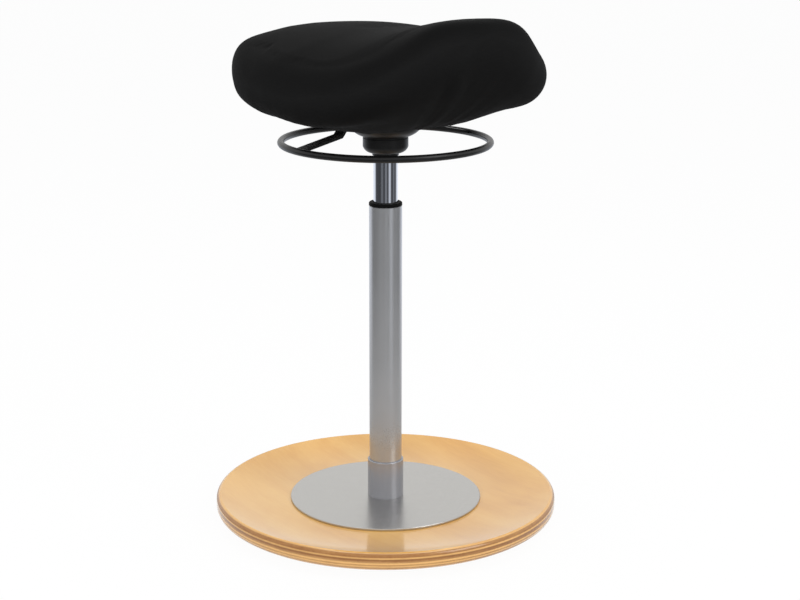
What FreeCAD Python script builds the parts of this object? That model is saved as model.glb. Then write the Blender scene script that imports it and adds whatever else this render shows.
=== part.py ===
import FreeCAD
import Part
import math
import os

import Sketcher

# Wobble stool: moulded plywood dish, steel disc and socket, column with gas spring, release ring and saddle seat.
# Millimetres, +Z up, origin on the floor under the column, the seat's raised nose towards -Y.

SIZES = {
    # rubber sole and plywood dish
    "sole_radius": 85.0,
    "sole_height": 2.0,
    "stud_circle": 65.0,
    "stud_radius": 3.95,
    "stud_hole_radius": 4.5,
    "nut_pocket_radius": 12.0,
    "nut_pocket_top": 12.0,
    "dish_radius": 201.5,
    "dish_flat_below": 95.0,
    "dish_flat_above": 117.0,
    "dish_bottom": 2.0,
    "dish_top": 22.0,
    "rim_bottom": 11.0,
    "rim_top": 32.0,
    "rim_foot_radius": 195.5,
    "rim_head_radius": 196.5,
    # steel disc, socket and column
    "disc_radius": 113.2,
    "disc_thick": 3.0,
    "disc_face": 25.0,
    "socket_radius": 21.2,
    "socket_bore": 19.05,
    "socket_top": 70.0,
    "column_radius": 19.0,
    "column_bore": 17.0,
    "column_top": 376.8,
    "bush_flange_radius": 19.2,
    "bush_sleeve_radius": 16.97,
    "bush_bore": 14.05,
    "bush_sleeve_bottom": 275.0,
    "bush_top": 380.6,
    "floor_plate_low": 42.0,
    "floor_plate_thick": 4.0,
    "floor_plate_hole": 4.3,
    # thrust bearing and rod end
    "race_radius": 14.0,
    "race_thick": 2.0,
    "lower_race_low": 46.0,
    "cage_low": 48.9,
    "cage_thick": 2.2,
    "cage_radius": 13.6,
    "cage_bore": 5.6,
    "ball_radius": 2.0,
    "ball_circle": 9.6,
    "ball_level": 50.0,
    "upper_race_low": 52.0,
    "rod_end_radius": 4.0,
    "rod_end_low": 34.0,
    "race_bore": 4.05,
    "rod_shoulder": 54.0,
    "rod_radius": 5.0,
    "rod_neck": 311.0,
    "rod_thread": 18.0,
    "clip_low": 37.0,
    "clip_thick": 1.2,
    "clip_radius": 8.5,
    "clip_slot": 7.0,
    "clip_groove_radius": 3.2,
    "washer_thick": 1.2,
    "bump_radius": 12.8,
    "bump_bore": 5.05,
    "bump_top": 62.0,
    # gas spring
    "tube_radius": 14.0,
    "tube_bore": 12.6,
    "tube_low": 130.0,
    "tube_high": 478.0,
    "taper_low": 438.0,
    "taper_radius": 13.0,
    "neck_low": 430.0,
    "neck_bore": 11.4,
    "cap_low": 474.0,
    "cap_hole": 5.0,
    "guide_low": 132.0,
    "guide_high": 150.0,
    "guide_bore": 5.05,
    "seal_high": 155.0,
    "inner_radius": 11.4,
    "inner_bore": 10.4,
    "inner_low": 155.0,
    "inner_high": 428.0,
    "piston_radius": 10.3,
    "piston_thick": 12.0,
    "piston_bore": 4.02,
    "groove_step": 4.5,
    "ring_thick": 3.0,
    "groove_radius": 8.6,
    "ring_outer": 10.38,
    "nut_flats_radius": 6.8,
    "nut_height": 4.0,
    "valve_low": 431.0,
    "valve_high": 472.0,
    "valve_radius": 11.35,
    "valve_bore": 3.05,
    "valve_groove": 9.6,
    "seal_a_low": 440.0,
    "seal_b_low": 458.0,
    "seal_width": 3.0,
    "pin_radius": 3.0,
    "pin_low": 442.0,
    "pin_high": 487.2,
    "pin_dome": 1.4,
    # hub
    "ferrule_low": 434.4,
    "ferrule_radius": 15.2,
    "ferrule_bore": 14.05,
    "housing_low": 437.8,
    "housing_bore": 17.6,
    "housing_top": 470.5,
    "hub_radius": 26.0,
    "cone_socket_low": 438.5,
    "cone_socket_high": 473.0,
    "cone_socket_radius": 17.5,
    "web_low": 473.0,
    "web_thick": 3.0,
    "bracket_length": 80.0,
    "bracket_width": 48.0,
    "bracket_wall": 3.0,
    "web_hole": 15.0,
    "plate_low": 494.0,
    "plate_thick": 3.0,
    "plate_length": 116.0,
    "plate_width": 92.0,
    "plate_corner": 12.0,
    "plate_hole": 3.3,
    "screw_x": 46.0,
    "screw_y": 34.0,
    "screw_radius": 2.95,
    "screw_head_radius": 5.5,
    "screw_head": 3.2,
    "screw_top": 506.0,
    # release bar and ring
    "pivot_x": 24.0,
    "pivot_level": 482.4,
    "pivot_radius": 3.0,
    "pivot_bore": 3.05,
    "pivot_length": 58.0,
    "sleeve_radius": 5.0,
    "sleeve_length": 30.0,
    "pivot_clip_radius": 5.5,
    "pivot_clip_thick": 1.0,
    "bar_thick": 3.0,
    "bar_width": 16.0,
    "bar_level": 488.9,
    "bar_flat": 44.0,
    "bar_knee_x": 65.0,
    "bar_knee": 462.1,
    "bar_end_x": 116.2,
    "bar_end": 450.9,
    "ring_radius": 118.9,
    "ring_bar": 4.0,
    "ring_level": 449.9,
    # seat pan, foam and cover
    "pan_low": 497.0,
    "pan_thick": 12.0,
    "pan_flat_x": 62.0,
    "pan_wide": 100.0,
    "pan_front": 128.0,
    "pan_back": 118.0,
    "pan_flat_y": 52.0,
    "tnut_radius": 4.2,
    "tnut_flange": 9.0,
    "seat_shift": 4.8,
    "seat_front": 174.4,
    "seat_back": 172.1,
    "seat_half_width": 165.5,
    "seat_level": 538.5,
    "seat_rise_front": 41.8,
    "seat_rise_back": 4.7,
    "seat_drop": 19.8,
    "seat_drop_front": 40.1,
    "seat_drop_back": 10.1,
    "seat_crown": 39.9,
    "seat_depth": 43.3,
    "seat_bowl": 34.5,
    "cover_thick": 2.0,
    "foam_gap": 0.3,
    "cover_opening": 75.0,
    "foam_recess": 82.0,
    "hem_thick": 2.5,
    "hem_outer": 81.6,
    "hem_top": 490.0,
    "under_seat": 420.0,
}

DOC = FreeCAD.newDocument("WobbleStool")
SHEET = DOC.addObject("Spreadsheet::Sheet", "Sheet")
for row, alias in enumerate(SIZES, start=1):
    SHEET.set("A%d" % row, alias)
    SHEET.set("B%d" % row, str(SIZES[alias]))
    SHEET.setAlias("B%d" % row, alias)
DOC.recompute()

V = FreeCAD.Vector
AXIS_Z = V(0, 0, 1)
NODES = {}


def amount(text):
    """Value of a sum of named sizes and plain numbers, such as 'column_top - 5'."""
    total = 0.0
    sign = 1.0
    for word in str(text).split():
        if word in ("+", "-"):
            sign = 1.0 if word == "+" else -1.0
            continue
        total += sign * (float(SHEET.get(word)) if word in SIZES else float(word))
        sign = 1.0
    return total


def formula(text):
    """The same sum, as an expression on the sheet."""
    words = ["Sheet." + word if word in SIZES else word for word in str(text).split()]
    return " ".join(words)


def bind(target, name, text):
    target.setExpression(name, formula(text))


def keep(label, shape_object):
    """Name a finished piece of the stool."""
    shape_object.Label = label
    NODES[label] = shape_object
    return shape_object


def place(item, x="0", y="0", z="0", turn=None):
    if turn is not None:
        item.Placement = FreeCAD.Placement(V(0, 0, 0), turn)
    bind(item, "Placement.Base.x", x)
    bind(item, "Placement.Base.y", y)
    bind(item, "Placement.Base.z", z)
    return item


def cylinder(name, radius, height, x="0", y="0", z="0", turn=None):
    item = DOC.addObject("Part::Cylinder", name)
    bind(item, "Radius", radius)
    bind(item, "Height", height)
    return place(item, x, y, z, turn)


def box(name, length, width, height, x="0", y="0", z="0"):
    item = DOC.addObject("Part::Box", name)
    bind(item, "Length", length)
    bind(item, "Width", width)
    bind(item, "Height", height)
    return place(item, x, y, z)


def fuse(name, parts):
    item = DOC.addObject("Part::MultiFuse", name)
    item.Shapes = parts
    return item


def cut(name, base, tool):
    item = DOC.addObject("Part::Cut", name)
    item.Base = base
    item.Tool = tool
    return item


def origin_plane(body, role):
    for feature in body.Origin.OriginFeatures:
        if feature.Role == role:
            return feature
    raise RuntimeError("no plane " + role)


def arc_through(first, middle, last):
    """Arc of a circle through three points, and whether it runs from first to last."""
    (ax, ay), (bx, by), (cx, cy) = first, middle, last
    double = 2 * (ax * (by - cy) + bx * (cy - ay) + cx * (ay - by))
    a2, b2, c2 = ax * ax + ay * ay, bx * bx + by * by, cx * cx + cy * cy
    ux = (a2 * (by - cy) + b2 * (cy - ay) + c2 * (ay - by)) / double
    uy = (a2 * (cx - bx) + b2 * (ax - cx) + c2 * (bx - ax)) / double
    circle = Part.Circle(V(ux, uy, 0), AXIS_Z, math.hypot(ax - ux, ay - uy))
    forward = (bx - ax) * (cy - ay) - (by - ay) * (cx - ax) > 0
    start, end = (first, last) if forward else (last, first)
    begin = math.atan2(start[1] - uy, start[0] - ux)
    finish = math.atan2(end[1] - uy, end[0] - ux)
    return Part.ArcOfCircle(circle, begin, finish), circle.Radius, forward


def profile(sketch, points):
    """Closed outline of lines and arcs. A point is (across, up) or (across, up, via across, via up): the last two
    are a point on the arc that leads to the next point."""
    count = len(points)
    ends = []
    radii = {}
    for index, point in enumerate(points):
        after = points[(index + 1) % count]
        here = (amount(point[0]), amount(point[1]))
        there = (amount(after[0]), amount(after[1]))
        if len(point) == 4:
            arc, radius, forward = arc_through(here, (amount(point[2]), amount(point[3])), there)
            sketch.addGeometry(arc, False)
            ends.append((1, 2) if forward else (2, 1))
            radii[index] = radius
        else:
            sketch.addGeometry(Part.LineSegment(V(here[0], here[1], 0), V(there[0], there[1], 0)), False)
            ends.append((1, 2))
    for index in range(count):
        after = (index + 1) % count
        sketch.addConstraint(Sketcher.Constraint("Coincident", index, ends[index][1], after, ends[after][0]))
    for index, point in enumerate(points):
        corner = ends[index][0]
        for kind, axis, text in (("DistanceX", -2, point[0]), ("DistanceY", -1, point[1])):
            if abs(amount(text)) < 1e-9:
                sketch.addConstraint(Sketcher.Constraint("PointOnObject", index, corner, axis))
                continue
            number = sketch.addConstraint(Sketcher.Constraint(kind, -1, 1, index, corner, amount(text)))
            sketch.setExpression("Constraints[%d]" % number, formula(text))
        if index in radii:
            sketch.addConstraint(Sketcher.Constraint("Radius", index, radii[index]))


def turned(label, points):
    """Piece turned about the column's axis from its outline in radius and height."""
    body = DOC.addObject("PartDesign::Body", label)
    sketch = body.newObject("Sketcher::SketchObject", label + "_outline")
    sketch.AttachmentSupport = (origin_plane(body, "XZ_Plane"), [""])
    sketch.MapMode = "FlatFace"
    profile(sketch, points)
    turn = body.newObject("PartDesign::Revolution", label + "_turn")
    turn.Profile = sketch
    turn.ReferenceAxis = (sketch, ["V_Axis"])
    turn.Angle = 360.0
    sketch.Visibility = False
    return body


def around(name, count, circle, start, make):
    """Equal pieces on a circle about the column's axis."""
    radius = amount(circle)
    items = []
    for index in range(count):
        angle = math.radians(start + 360.0 * index / count)
        x = "%.6f" % (radius * math.cos(angle))
        y = "%.6f" % (radius * math.sin(angle))
        items.append(make("%s_%d" % (name, index + 1), x, y))
    return items


def four(name, make):
    """Equal pieces at the seat plate's four screws."""
    signs = ((1, 1), (-1, 1), (-1, -1), (1, -1))
    items = []
    for index, (right, back) in enumerate(signs):
        x = "screw_x" if right > 0 else "0 - screw_x"
        y = "screw_y" if back > 0 else "0 - screw_y"
        items.append(make("%s_%d" % (name, index + 1), x, y))
    return items


# The base: sole, dish, disc and its fasteners.


def make_sole():
    disc = turned("sole_disc", [
        ("0", "0"),
        ("sole_radius - 1", "0"),
        ("sole_radius", "1"),
        ("sole_radius", "sole_height"),
        ("0", "sole_height"),
    ])
    holes = around("sole_hole", 4, "stud_circle", 45.0,
                   lambda name, x, y: cylinder(name, "nut_pocket_radius", "10", x, y, "0 - 4"))
    keep("anti_slip_sole", cut("sole", disc, fuse("sole_holes", holes)))


def make_dish():
    dish = turned("dish_blank", [
        ("0", "dish_bottom"),
        ("dish_flat_below", "dish_bottom", "dish_flat_below + 52", "dish_bottom + 2.55"),
        ("rim_foot_radius", "rim_bottom", "dish_radius - 1.6", "rim_bottom + 3.2"),
        ("dish_radius", "rim_bottom + 7.5"),
        ("dish_radius", "rim_top - 6.5", "dish_radius - 1.4", "rim_top - 2.2"),
        ("rim_head_radius", "rim_top", "dish_flat_above + 41", "dish_top + 2.6"),
        ("dish_flat_above", "dish_top"),
        ("0", "dish_top"),
    ])
    holes = around("stud_hole", 4, "stud_circle", 45.0,
                   lambda name, x, y: cylinder(name, "stud_hole_radius", "30", x, y, "0"))
    pockets = around("nut_pocket", 4, "stud_circle", 45.0,
                     lambda name, x, y: cylinder(name, "nut_pocket_radius", "nut_pocket_top", x, y, "0"))
    keep("base_dish", cut("dish", dish, fuse("dish_holes", holes + pockets)))


def make_disc():
    keep("base_disc", turned("disc", [
        ("0", "dish_top"),
        ("disc_radius - 0.6", "dish_top"),
        ("disc_radius", "dish_top + 0.6"),
        ("disc_radius", "disc_face - 0.9", "disc_radius - 0.26", "disc_face - 0.26"),
        ("disc_radius - 0.9", "disc_face"),
        ("0", "disc_face"),
    ]))
    keep("disc_studs", fuse("disc_stud_group", around(
        "disc_stud", 4, "stud_circle", 45.0,
        lambda name, x, y: cylinder(name, "stud_radius", "dish_top - 3", x, y, "3"))))


def make_disc_fasteners():
    def washer(name, x, y):
        outer = cylinder(name + "_outer", "8", "1.6", x, y, "nut_pocket_top - 1.6")
        inner = cylinder(name + "_inner", "stud_radius + 0.25", "4", x, y, "nut_pocket_top - 3")
        return cut(name, outer, inner)

    def nut(name, x, y):
        prism = DOC.addObject("Part::Prism", name + "_hexagon")
        prism.Polygon = 6
        bind(prism, "Circumradius", "7.5")
        bind(prism, "Height", "6.5")
        place(prism, x, y, "nut_pocket_top - 8.1")
        inner = cylinder(name + "_thread", "stud_radius + 0.05", "12", x, y, "nut_pocket_top - 11")
        return cut(name, prism, inner)

    keep("disc_washers", fuse("disc_washer_group", around("disc_washer", 4, "stud_circle", 45.0, washer)))
    keep("disc_nuts", fuse("disc_nut_group", around("disc_nut", 4, "stud_circle", 45.0, nut)))


# The column: socket, tube, bush and bottom plate.


def make_column():
    keep("column_socket", turned("socket", [
        ("socket_bore", "disc_face"),
        ("socket_radius", "disc_face"),
        ("socket_radius", "socket_top - 1", "socket_radius - 0.3", "socket_top - 0.3"),
        ("socket_radius - 1", "socket_top"),
        ("socket_bore", "socket_top"),
    ]))
    keep("column_tube", turned("tube", [
        ("column_bore", "disc_face"),
        ("column_radius", "disc_face"),
        ("column_radius", "column_top - 0.8"),
        ("column_radius - 0.8", "column_top"),
        ("column_bore", "column_top"),
    ]))
    keep("guide_bush", turned("bush", [
        ("bush_bore", "bush_sleeve_bottom"),
        ("bush_sleeve_radius", "bush_sleeve_bottom"),
        ("bush_sleeve_radius", "column_top"),
        ("bush_flange_radius", "column_top"),
        ("bush_flange_radius", "bush_top - 1.6", "bush_flange_radius - 0.47", "bush_top - 0.47"),
        ("bush_flange_radius - 1.6", "bush_top"),
        ("bush_bore + 1", "bush_top"),
        ("bush_bore", "bush_top - 1"),
    ]))
    keep("column_floor_plate", turned("floor_plate", [
        ("floor_plate_hole", "floor_plate_low"),
        ("column_bore", "floor_plate_low"),
        ("column_bore", "floor_plate_low + floor_plate_thick"),
        ("floor_plate_hole", "floor_plate_low + floor_plate_thick"),
    ]))


# The rod's end: thrust bearing, clip and bump stop.


def make_bearing():
    keep("lower_race", turned("race_below", [
        ("race_bore + 0.6", "lower_race_low"),
        ("race_radius", "lower_race_low"),
        ("race_radius", "lower_race_low + race_thick"),
        ("race_bore + 0.6", "lower_race_low + race_thick"),
    ]))
    keep("upper_race", turned("race_above", [
        ("race_bore", "upper_race_low"),
        ("race_radius", "upper_race_low"),
        ("race_radius", "upper_race_low + race_thick"),
        ("race_bore", "upper_race_low + race_thick"),
    ]))
    ring = turned("cage_ring", [
        ("cage_bore", "cage_low"),
        ("cage_radius", "cage_low"),
        ("cage_radius", "cage_low + cage_thick"),
        ("cage_bore", "cage_low + cage_thick"),
    ])
    windows = around("cage_window", 8, "ball_circle", 0.0,
                     lambda name, x, y: cylinder(name, "ball_radius + 0.05", "8", x, y, "cage_low - 3"))
    keep("bearing_cage", cut("cage", ring, fuse("cage_windows", windows)))

    def ball(name, x, y):
        item = DOC.addObject("Part::Sphere", name)
        bind(item, "Radius", "ball_radius - 0.01")
        return place(item, x, y, "ball_level")

    keep("bearing_balls", fuse("ball_group", around("ball", 8, "ball_circle", 0.0, ball)))


def make_rod_end():
    ring = cylinder("clip_disc", "clip_radius", "clip_thick", "0", "0", "clip_low")
    middle = cylinder("clip_middle", "clip_groove_radius", "6", "0", "0", "clip_low - 2")
    slot = box("clip_slot_cut", "12", "clip_slot - 1.6", "6", "0", "0 - 2.7", "clip_low - 2")
    keep("rod_clip", cut("clip", ring, fuse("clip_cuts", [middle, slot])))
    keep("clip_washer", turned("washer_ring", [
        ("race_bore + 0.1", "clip_low + clip_thick"),
        ("clip_radius + 1.5", "clip_low + clip_thick"),
        ("clip_radius + 1.5", "clip_low + clip_thick + washer_thick"),
        ("race_bore + 0.1", "clip_low + clip_thick + washer_thick"),
    ]))
    keep("bump_stop", turned("bump", [
        ("bump_bore", "rod_shoulder"),
        ("bump_radius", "rod_shoulder"),
        ("bump_radius", "bump_top - 3", "bump_radius - 0.8", "bump_top - 0.8"),
        ("bump_radius - 3", "bump_top"),
        ("bump_bore", "bump_top"),
    ]))


# The gas spring: rod with piston, tube, inner cylinder, guide, seals and valve.


def make_gas_spring():
    keep("piston_rod", turned("rod", [
        ("0", "rod_end_low"),
        ("rod_end_radius - 0.8", "rod_end_low"),
        ("rod_end_radius", "rod_end_low + 0.8"),
        ("rod_end_radius", "clip_low - 0.05"),
        ("clip_groove_radius", "clip_low - 0.05"),
        ("clip_groove_radius", "clip_low + clip_thick"),
        ("rod_end_radius", "clip_low + clip_thick"),
        ("rod_end_radius", "rod_shoulder"),
        ("rod_radius", "rod_shoulder"),
        ("rod_radius", "rod_neck"),
        ("rod_end_radius", "rod_neck"),
        ("rod_end_radius", "rod_neck + rod_thread - 0.8"),
        ("rod_end_radius - 0.8", "rod_neck + rod_thread"),
        ("0", "rod_neck + rod_thread"),
    ]))
    keep("piston", turned("piston_disc", [
        ("piston_bore", "rod_neck"),
        ("piston_radius", "rod_neck"),
        ("piston_radius", "rod_neck + groove_step"),
        ("groove_radius", "rod_neck + groove_step"),
        ("groove_radius", "rod_neck + groove_step + ring_thick"),
        ("piston_radius", "rod_neck + groove_step + ring_thick"),
        ("piston_radius", "rod_neck + piston_thick"),
        ("piston_bore", "rod_neck + piston_thick"),
    ]))
    keep("piston_ring", turned("piston_seal", [
        ("groove_radius", "rod_neck + groove_step"),
        ("ring_outer", "rod_neck + groove_step"),
        ("ring_outer", "rod_neck + groove_step + ring_thick"),
        ("groove_radius", "rod_neck + groove_step + ring_thick"),
    ]))
    nut = DOC.addObject("Part::Prism", "piston_nut_hexagon")
    nut.Polygon = 6
    bind(nut, "Circumradius", "nut_flats_radius")
    bind(nut, "Height", "nut_height")
    place(nut, "0", "0", "rod_neck + piston_thick")
    thread = cylinder("piston_nut_thread", "rod_end_radius + 0.02", "12", "0", "0", "rod_neck + piston_thick - 3")
    keep("piston_nut", cut("piston_nut_cut", nut, thread))
    keep("pressure_tube", turned("gas_tube", [
        ("rod_radius + 1.6", "tube_low"),
        ("tube_radius - 1.2", "tube_low", "tube_radius - 0.36", "tube_low + 0.36"),
        ("tube_radius", "tube_low + 1.2"),
        ("tube_radius", "taper_low"),
        ("taper_radius", "tube_high - 1"),
        ("taper_radius - 1", "tube_high"),
        ("cap_hole", "tube_high"),
        ("cap_hole", "cap_low"),
        ("neck_bore", "cap_low"),
        ("neck_bore", "neck_low"),
        ("tube_bore", "neck_low"),
        ("tube_bore", "guide_low"),
        ("rod_radius + 1.6", "guide_low"),
    ]))
    keep("rod_guide", turned("guide", [
        ("guide_bore", "guide_low"),
        ("tube_bore", "guide_low"),
        ("tube_bore", "guide_high"),
        ("guide_bore", "guide_high"),
    ]))
    keep("rod_seal", turned("seal", [
        ("guide_bore", "guide_high"),
        ("tube_bore", "guide_high"),
        ("tube_bore", "seal_high"),
        ("guide_bore + 1.5", "seal_high"),
        ("guide_bore", "seal_high - 1.5"),
    ]))
    keep("inner_cylinder", turned("cylinder_sleeve", [
        ("inner_bore", "inner_low"),
        ("inner_radius", "inner_low"),
        ("inner_radius", "inner_high"),
        ("inner_bore", "inner_high"),
    ]))


def make_valve():
    keep("valve_body", turned("valve", [
        ("valve_bore", "valve_low"),
        ("valve_radius", "valve_low"),
        ("valve_radius", "seal_a_low"),
        ("valve_groove", "seal_a_low"),
        ("valve_groove", "seal_a_low + seal_width"),
        ("valve_radius", "seal_a_low + seal_width"),
        ("valve_radius", "seal_b_low"),
        ("valve_groove", "seal_b_low"),
        ("valve_groove", "seal_b_low + seal_width"),
        ("valve_radius", "seal_b_low + seal_width"),
        ("valve_radius", "valve_high"),
        ("valve_bore", "valve_high"),
    ]))
    rings = []
    for name, low in (("valve_seal_low", "seal_a_low"), ("valve_seal_high", "seal_b_low")):
        outer = cylinder(name + "_outer", "neck_bore", "seal_width", "0", "0", low)
        inner = cylinder(name + "_inner", "valve_groove", "seal_width + 4", "0", "0", low + " - 2")
        rings.append(cut(name, outer, inner))
    keep("valve_seals", fuse("valve_seal_group", rings))
    keep("valve_pin", turned("pin", [
        ("0", "pin_low"),
        ("pin_radius", "pin_low"),
        ("pin_radius", "pin_high - 1"),
        ("pin_dome", "pin_high"),
        ("0", "pin_high"),
    ]))


# The hub under the seat.


def make_hub():
    keep("hub_ferrule", turned("ferrule", [
        ("ferrule_bore", "ferrule_low"),
        ("ferrule_radius - 0.6", "ferrule_low"),
        ("ferrule_radius", "ferrule_low + 0.6"),
        ("ferrule_radius", "housing_low"),
        ("ferrule_bore", "housing_low"),
    ]))
    keep("hub_housing", turned("housing", [
        ("ferrule_bore + 0.4", "housing_low"),
        ("ferrule_radius + 0.2", "housing_low", "hub_radius - 3.0", "housing_low + 2.5"),
        ("hub_radius", "housing_low + 7.4"),
        ("hub_radius", "housing_low + 16.8"),
        ("hub_radius - 1.2", "housing_low + 17.1"),
        ("hub_radius - 1.2", "housing_low + 18.4", "hub_radius + 3.4", "housing_low + 19.9"),
        ("hub_radius + 11", "housing_low + 24.5", "hub_radius + 13.8", "housing_low + 28"),
        ("hub_radius + 15", "housing_top"),
        ("housing_bore", "housing_top"),
        ("housing_bore", "cone_socket_low"),
        ("ferrule_bore + 0.4", "cone_socket_low"),
    ]))
    keep("cone_socket", turned("cone", [
        ("tube_radius + 0.02", "cone_socket_low"),
        ("cone_socket_radius", "cone_socket_low"),
        ("cone_socket_radius", "cone_socket_high"),
        ("taper_radius + 0.14", "cone_socket_high"),
    ]))


def make_bracket():
    block = box("bracket_block", "bracket_length", "bracket_width", "plate_low - web_low",
                "0 - 40", "0 - 24", "web_low")
    hollow = box("bracket_hollow", "bracket_length + 20", "bracket_width - bracket_wall - bracket_wall", "40",
                 "0 - 50", "0 - 21", "web_low + web_thick")
    hole = cylinder("bracket_hole", "web_hole", "20", "0", "0", "web_low - 8")
    pin_hole = cylinder("bracket_pin_hole", "pivot_bore", "80", "0 - pivot_x", "40", "pivot_level",
                        FreeCAD.Rotation(V(1, 0, 0), 90))
    keep("seat_bracket", cut("bracket", block, fuse("bracket_cuts", [hollow, hole, pin_hole])))


def make_seat_plate():
    body = DOC.addObject("PartDesign::Body", "seat_plate_body")
    sketch = body.newObject("Sketcher::SketchObject", "seat_plate_outline")
    sketch.AttachmentSupport = (origin_plane(body, "XY_Plane"), [""])
    sketch.MapMode = "FlatFace"
    bind(sketch, "AttachmentOffset.Base.z", "plate_low")
    half_x = amount("plate_length") / 2
    half_y = amount("plate_width") / 2
    corners = [(-half_x, -half_y), (half_x, -half_y), (half_x, half_y), (-half_x, half_y)]
    for index in range(4):
        start = corners[index]
        end = corners[(index + 1) % 4]
        sketch.addGeometry(Part.LineSegment(V(start[0], start[1], 0), V(end[0], end[1], 0)), False)
    for index in range(4):
        sketch.addConstraint(Sketcher.Constraint("Coincident", index, 2, (index + 1) % 4, 1))
    for index in (0, 2):
        sketch.addConstraint(Sketcher.Constraint("Horizontal", index))
        sketch.addConstraint(Sketcher.Constraint("Vertical", index + 1))
    sketch.addConstraint(Sketcher.Constraint("Symmetric", 0, 1, 1, 2, -1, 1))
    long_side = sketch.addConstraint(Sketcher.Constraint("DistanceX", 0, 1, 0, 2, 2 * half_x))
    short_side = sketch.addConstraint(Sketcher.Constraint("DistanceY", 1, 1, 1, 2, 2 * half_y))
    sketch.setExpression("Constraints[%d]" % long_side, "Sheet.plate_length")
    sketch.setExpression("Constraints[%d]" % short_side, "Sheet.plate_width")
    pad = body.newObject("PartDesign::Pad", "seat_plate_pad")
    pad.Profile = sketch
    bind(pad, "Length", "plate_thick")
    DOC.recompute()
    uprights = []
    for number, edge in enumerate(pad.Shape.Edges, start=1):
        ends = [vertex.Point for vertex in edge.Vertexes]
        if len(ends) == 2 and abs(ends[0].z - ends[1].z) > 1:
            uprights.append("Edge%d" % number)
    corner = body.newObject("PartDesign::Fillet", "seat_plate_corners")
    corner.Base = (pad, uprights)
    bind(corner, "Radius", "plate_corner")
    holes = four("seat_plate_hole", lambda name, x, y: cylinder(name, "plate_hole", "20", x, y, "plate_low - 8"))
    keep("seat_plate", cut("seat_plate_cut", body, fuse("seat_plate_holes", holes)))


def make_pivot():
    along = FreeCAD.Rotation(V(1, 0, 0), 90)
    keep("pivot_pin", cylinder("pivot", "pivot_radius", "pivot_length", "0 - pivot_x", "29", "pivot_level", along))
    rings = []
    for name, y in (("pivot_clip_back", "24.3 + pivot_clip_thick"), ("pivot_clip_front", "0 - 24.3")):
        outer = cylinder(name + "_outer", "pivot_clip_radius", "pivot_clip_thick", "0 - pivot_x", y, "pivot_level",
                         along)
        inner = cylinder(name + "_inner", "pivot_radius", "20", "0 - pivot_x", y + " + 10", "pivot_level", along)
        rings.append(cut(name, outer, inner))
    keep("pivot_clips", fuse("pivot_clip_group", rings))
    outer = cylinder("sleeve_outer", "sleeve_radius", "sleeve_length", "0 - pivot_x", "15", "pivot_level", along)
    inner = cylinder("sleeve_inner", "pivot_bore", "60", "0 - pivot_x", "30", "pivot_level", along)
    keep("pivot_sleeve", cut("sleeve", outer, inner))


# The release ring and its cross bar.


def bar_outline():
    """Both faces of the bent bar, in x and z, from its centre line."""
    line = [
        (-amount("bar_end_x"), amount("bar_end")),
        (-amount("bar_knee_x"), amount("bar_knee")),
        (-amount("bar_flat"), amount("bar_level")),
        (amount("bar_flat"), amount("bar_level")),
        (amount("bar_knee_x"), amount("bar_knee")),
        (amount("bar_end_x"), amount("bar_end")),
    ]
    half = amount("bar_thick") / 2
    above = []
    below = []
    for index, (x, z) in enumerate(line):
        ways = []
        if index:
            ways.append((x - line[index - 1][0], z - line[index - 1][1]))
        if index + 1 < len(line):
            ways.append((line[index + 1][0] - x, line[index + 1][1] - z))
        normals = [(-b / math.hypot(a, b), a / math.hypot(a, b)) for a, b in ways]
        nx = sum(normal[0] for normal in normals)
        nz = sum(normal[1] for normal in normals)
        size = math.hypot(nx, nz)
        nx, nz = nx / size, nz / size
        reach = half / (nx * normals[0][0] + nz * normals[0][1])
        above.append(("%.4f" % (x + reach * nx), "%.4f" % (z + reach * nz)))
        below.append(("%.4f" % (x - reach * nx), "%.4f" % (z - reach * nz)))
    return below + above[::-1]


def signed(text):
    return "0 - " + text[1:] if text.startswith("-") else text


def make_release():
    body = DOC.addObject("PartDesign::Body", "cross_bar_body")
    sketch = body.newObject("Sketcher::SketchObject", "cross_bar_outline")
    sketch.AttachmentSupport = (origin_plane(body, "XZ_Plane"), [""])
    sketch.MapMode = "FlatFace"
    profile(sketch, [(signed(x), z) for x, z in bar_outline()])
    pad = body.newObject("PartDesign::Pad", "cross_bar_pad")
    pad.Profile = sketch
    pad.SideType = "Symmetric"
    bind(pad, "Length", "bar_width")
    keep("release_cross_bar", body)
    ring = DOC.addObject("Part::Torus", "ring_torus")
    bind(ring, "Radius1", "ring_radius")
    bind(ring, "Radius2", "ring_bar")
    place(ring, "0", "0", "ring_level")
    # The bar's ends are notched where the ring is welded to them.
    rest = DOC.addObject("Part::Cut", "ring_less_bar")
    rest.Base = ring
    rest.Tool = body
    keep("release_ring", rest)


# The seat: pan with fasteners, foam, cover and hem.


def arc_edge(first, middle, last):
    return Part.Arc(first, middle, last).toShape()


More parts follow.
